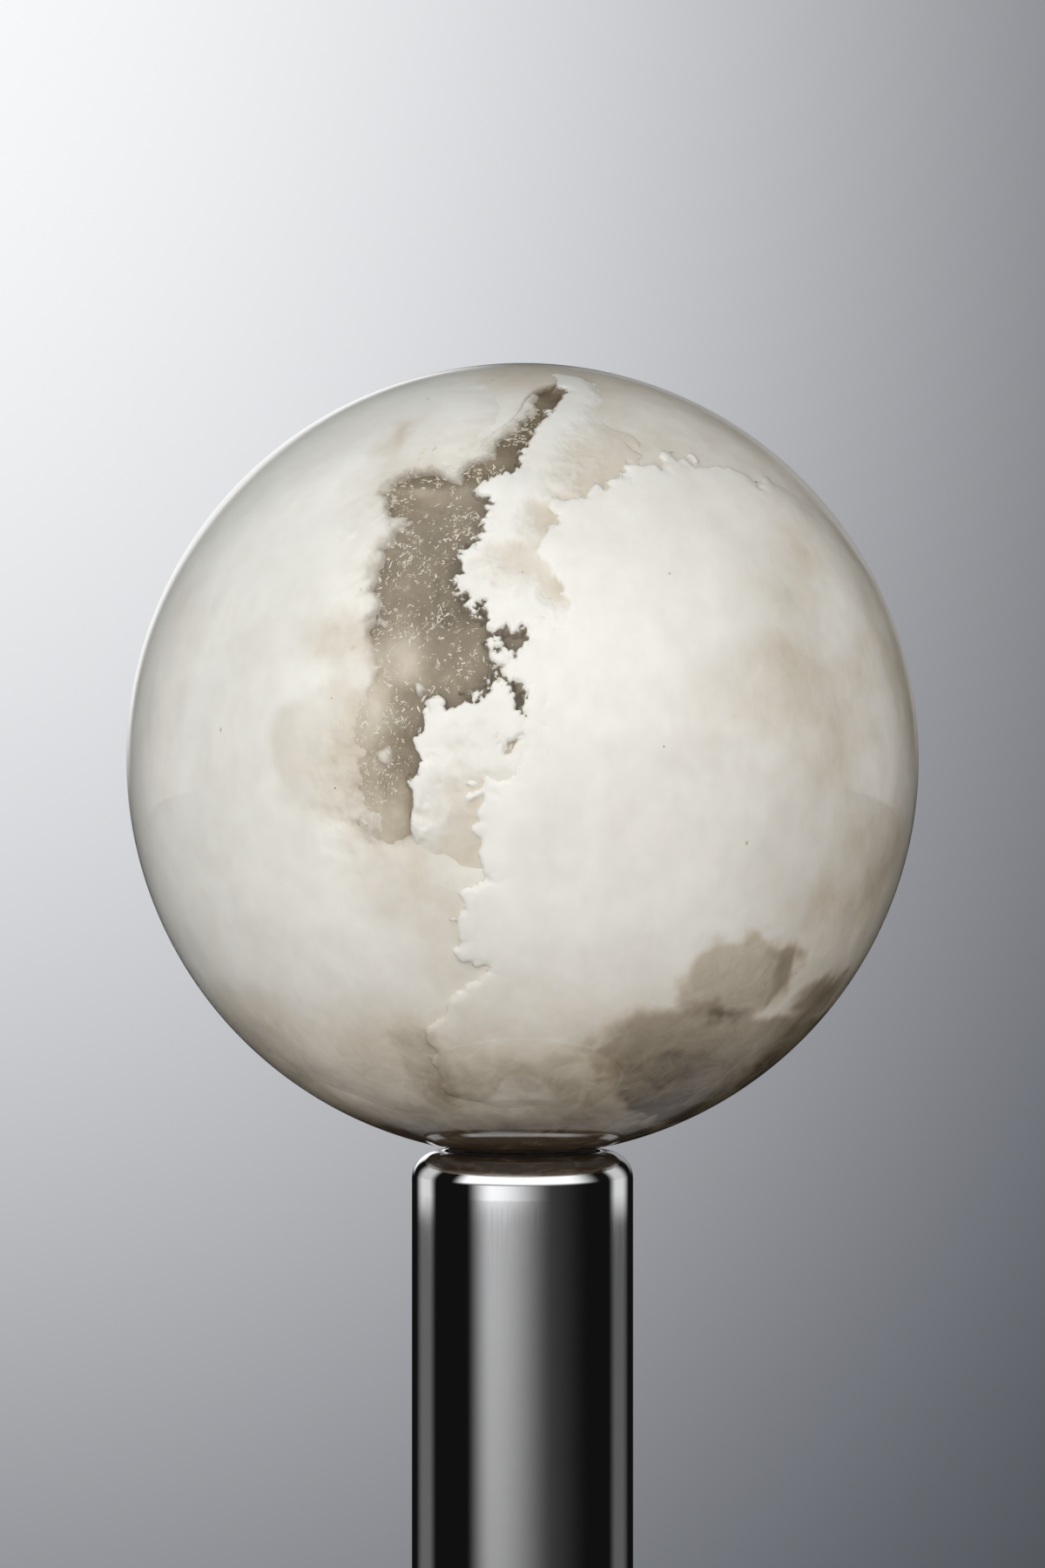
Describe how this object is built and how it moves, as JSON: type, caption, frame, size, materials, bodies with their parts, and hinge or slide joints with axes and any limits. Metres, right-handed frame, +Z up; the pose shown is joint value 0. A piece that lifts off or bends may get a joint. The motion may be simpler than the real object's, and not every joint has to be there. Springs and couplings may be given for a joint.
{
  "type": "storm glass",
  "caption": "Sealed glass globe filled with white camphor crystals in a clear liquid, seated in a soft ring on a polished round post with a weighted round base.",
  "frame": {"origin": "centre of the felt's underside, on the surface the object stands on", "axes": "+Z up along the post and through the globe's centre; the globe's front, with the dark rift between the crystal banks, faces -Y; +X to the right seen from the front"},
  "size_m": [0.1, 0.1, 0.1993],
  "materials": {
    "globe_glass": "clear, fire-polished, with a slight swirl of thickness",
    "storm_liquid": "clear liquid with a faint olive-brown tint, glassy where it meets the globe",
    "camphor_crystal": "packed feathery crystals, cloudy white, translucent at their thin edges",
    "camphor_flake": "single bright crystal flakes, silky",
    "stopper_plastic": "natural white, turned",
    "ring_rubber": "moulded, satin black",
    "seal_resin": "cast resin, glossy, slightly yellow",
    "seat_rubber": "moulded, satin black",
    "polished_chrome": "mirror polished, with faint hairlines from the buffing wheel",
    "turned_aluminium": "turned, with fine concentric tool marks",
    "gasket_rubber": "die-cut sheet, matt black",
    "weight_iron": "cast and machined, grey-black",
    "black_felt": "pressed wool felt, black",
    "zinc_steel": "zinc plated, satin",
    "spring_steel": "blackened spring steel, satin"
  },
  "bodies": {
    "stand": {"post_shell": "polished_chrome", "socket_insert": "turned_aluminium", "foot_plug": "turned_aluminium", "post_gasket": "gasket_rubber", "base_cover": "polished_chrome", "base_weight": "weight_iron", "felt_pad": "black_felt", "clamp_screw": "zinc_steel", "flat_washer": "zinc_steel", "spring_washer": "spring_steel", "anti_turn_pin": "spring_steel"},
    "seat": {"seat_grommet": "seat_rubber"},
    "globe": {"glass_globe": "globe_glass", "storm_solution": "storm_liquid", "crystal_core": "camphor_crystal", "crystal_bank_right": "camphor_crystal", "crystal_bank_left": "camphor_crystal", "crystal_tongue": "camphor_crystal", "crystal_bank_rear_right": "camphor_crystal", "crystal_bank_rear_left": "camphor_crystal", "crystal_crown": "camphor_crystal", "crystal_bed": "camphor_crystal", "crystal_flakes": "camphor_flake", "neck_stopper": "stopper_plastic", "stopper_rings": "ring_rubber", "neck_seal": "seal_resin"}
  },
  "joints": [
    {"name": "globe_turn", "type": "hinge", "parent": "stand", "child": "seat", "pos_m": [0, 0, 0.0998], "axis": [0, 0, 1], "continuous": true},
    {"name": "globe_lift", "type": "slide", "parent": "seat", "child": "globe", "axis": [0, 0, 1], "range_m": [0, 0.03]}
  ]
}
